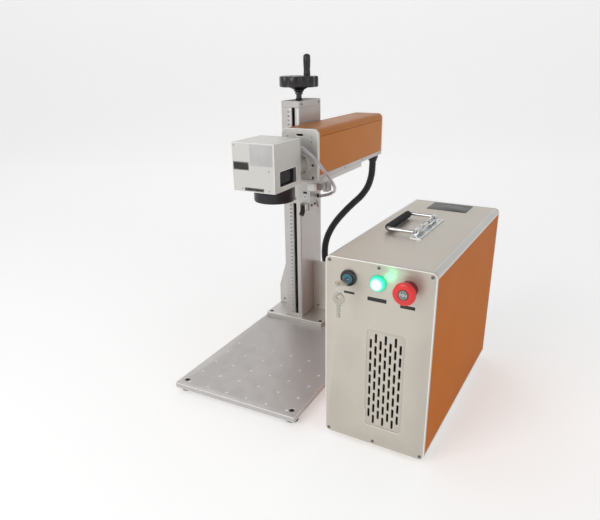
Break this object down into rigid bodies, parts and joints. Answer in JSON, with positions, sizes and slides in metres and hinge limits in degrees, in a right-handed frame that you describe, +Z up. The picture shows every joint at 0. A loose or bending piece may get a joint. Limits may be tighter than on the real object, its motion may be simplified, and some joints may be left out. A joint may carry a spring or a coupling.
{
  "type": "laser marking machine",
  "caption": "Bench-top laser marking machine: hand-cranked stand carrying a laser arm with a scanning head and flat-field lens, joined by a hose to a separate control cabinet.",
  "frame": {"origin": "on the floor, under the middle of the bounding box of the machine without its hose and tube", "axes": "+Z up, +Y to the back, +X to the right, towards the control cabinet"},
  "size_m": [0.5862, 0.7646, 0.7058],
  "materials": {
    "brushed_aluminium": "brushed and clear anodised",
    "orange_paint": "satin metallic orange",
    "black_rubber": "matt",
    "black_hose": "satin, finely ribbed",
    "dark_steel": "black oxide",
    "steel": "turned",
    "bronze": "machined",
    "black_plastic": "fine satin",
    "black_paint": "satin black",
    "dark_window": "glossy, near black",
    "lens_coating": "coated",
    "mirror_coating": "polished",
    "clear_plastic": "clear",
    "key_metal": "nickel plated",
    "teal_plastic": "satin",
    "green_plastic": "translucent",
    "lamp_glow": "lit",
    "grey_plastic": "satin",
    "red_plastic": "satin gloss",
    "chrome_rod": "polished",
    "plated_steel": "zinc plated"
  },
  "bodies": {
    "stand": {"base_plate": "brushed_aluminium", "rubber_feet": "black_rubber", "stand_screws": "dark_steel", "column_flange": "brushed_aluminium", "column_braces": "brushed_aluminium", "column_body": "brushed_aluminium", "column_cap": "brushed_aluminium", "column_cover": "black_plastic", "screw_bearing": "steel", "cabinet_front": "brushed_aluminium", "cabinet_rear": "brushed_aluminium", "cabinet_top": "brushed_aluminium", "cabinet_bottom": "brushed_aluminium", "cabinet_sides": "orange_paint", "corner_rails": "brushed_aluminium", "cabinet_feet": "black_rubber", "key_switch": "black_plastic", "lamp_bezel": "green_plastic", "lamp_lens": "lamp_glow", "estop_base": "black_plastic", "handle_plate": "chrome_rod", "fan_frame": "black_plastic", "fan_guard": "plated_steel", "mains_inlet": "black_plastic", "interface_sockets": "plated_steel", "cabinet_gland": "black_plastic", "laser_source": "black_paint"},
    "wheel": {"lead_screw": "steel", "handwheel": "black_plastic"},
    "wheel_knob": {"handwheel_grip": "black_plastic"},
    "lift": {"lead_nut": "bronze", "carriage": "brushed_aluminium", "arm_front_plate": "brushed_aluminium", "arm_housing": "orange_paint", "arm_base": "brushed_aluminium", "arm_rear_plate": "brushed_aluminium", "beam_adapter": "brushed_aluminium", "collimator": "black_paint", "head_housing": "brushed_aluminium", "head_window": "dark_window", "galvo_motors": "black_paint", "lens_barrel": "black_paint", "lens_glass": "lens_coating", "pointer_bracket": "brushed_aluminium", "head_tube": "clear_plastic", "arm_gland": "black_plastic", "hose": "black_hose"},
    "x_scanner": {"mirror_x": "mirror_coating"},
    "y_scanner": {"mirror_y": "mirror_coating"},
    "focus_pointer": {"pointer": "black_paint"},
    "switch_key": {"key_rotor": "teal_plastic", "key": "key_metal"},
    "ring": {"key_ring": "key_metal"},
    "hanging_key": {"spare_key": "key_metal"},
    "stop_plunger": {"estop_stem": "grey_plastic"},
    "stop_cap": {"estop_button": "red_plastic"},
    "handle": {"handle_bail": "chrome_rod", "handle_grip": "black_rubber"},
    "fan": {"fan_rotor": "black_plastic"},
    "rocker": {"mains_rocker": "red_plastic"}
  },
  "joints": [
    {"name": "handwheel_turn", "type": "hinge", "parent": "stand", "child": "wheel", "pos_m": [-0.2061, 0.09868, 0.63], "axis": [0, 0, 1], "range_deg": [-4321, 17281]},
    {"name": "head_lift", "type": "slide", "parent": "stand", "child": "lift", "axis": [0, 0, 1], "range_m": [-0.24, 0.06], "deforming": ["hose"]},
    {"name": "knob_spin", "type": "hinge", "parent": "wheel", "child": "wheel_knob", "pos_m": [-0.19912, 0.12888, 0.6555], "axis": [0, 0, 1], "continuous": true},
    {"name": "x_mirror_turn", "type": "hinge", "parent": "lift", "child": "x_scanner", "pos_m": [-0.1331, -0.12432, 0.47], "axis": [0, 0, 1], "range_deg": [-12, 12]},
    {"name": "y_mirror_turn", "type": "hinge", "parent": "lift", "child": "y_scanner", "pos_m": [-0.1521, -0.12432, 0.47], "axis": [0, 1, 0], "range_deg": [-12, 12]},
    {"name": "pointer_tilt", "type": "hinge", "parent": "lift", "child": "focus_pointer", "pos_m": [-0.1401, -0.01282, 0.356], "axis": [1, 0, 0], "range_deg": [-12, 12]},
    {"name": "key_turn", "type": "hinge", "parent": "stand", "child": "switch_key", "pos_m": [0.11836, -0.33671, 0.341], "axis": [-0.041, -0.9992, 0], "range_deg": [0, 45]},
    {"name": "ring_swing", "type": "hinge", "parent": "switch_key", "child": "ring", "pos_m": [0.11675, -0.37617, 0.341], "axis": [-0.041, -0.9992, 0], "range_deg": [-30, 30]},
    {"name": "spare_key_swing", "type": "hinge", "parent": "ring", "child": "hanging_key", "pos_m": [0.11675, -0.37617, 0.32015], "axis": [-0.041, -0.9992, 0], "range_deg": [-45, 45]},
    {"name": "stop_push", "type": "slide", "parent": "stand", "child": "stop_plunger", "axis": [0.041, 0.9992, 0], "range_m": [0, 0.005], "stiffness_N_per_m": 600},
    {"name": "stop_twist", "type": "hinge", "parent": "stop_plunger", "child": "stop_cap", "pos_m": [0.22725, -0.3662, 0.341], "axis": [-0.041, -0.9992, 0], "range_deg": [-45, 0], "stiffness_Nm_per_rad": 0.05},
    {"name": "handle_lift", "type": "hinge", "parent": "stand", "child": "handle", "pos_m": [0.18581, -0.10778, 0.3855], "axis": [0.041, 0.9992, 0], "range_deg": [0, 95]},
    {"name": "fan_spin", "type": "hinge", "parent": "stand", "child": "fan", "pos_m": [0.21834, 0.09956, 0.258], "axis": [0.041, 0.9992, 0], "continuous": true},
    {"name": "mains_rock", "type": "hinge", "parent": "stand", "child": "rocker", "pos_m": [0.14158, 0.11922, 0.176], "axis": [0.9992, -0.041, 0], "range_deg": [-24, 0]}
  ],
  "couplings": [
    {"joint": "handwheel_turn", "follows": "head_lift", "rad_per_m": -1256.6}
  ]
}
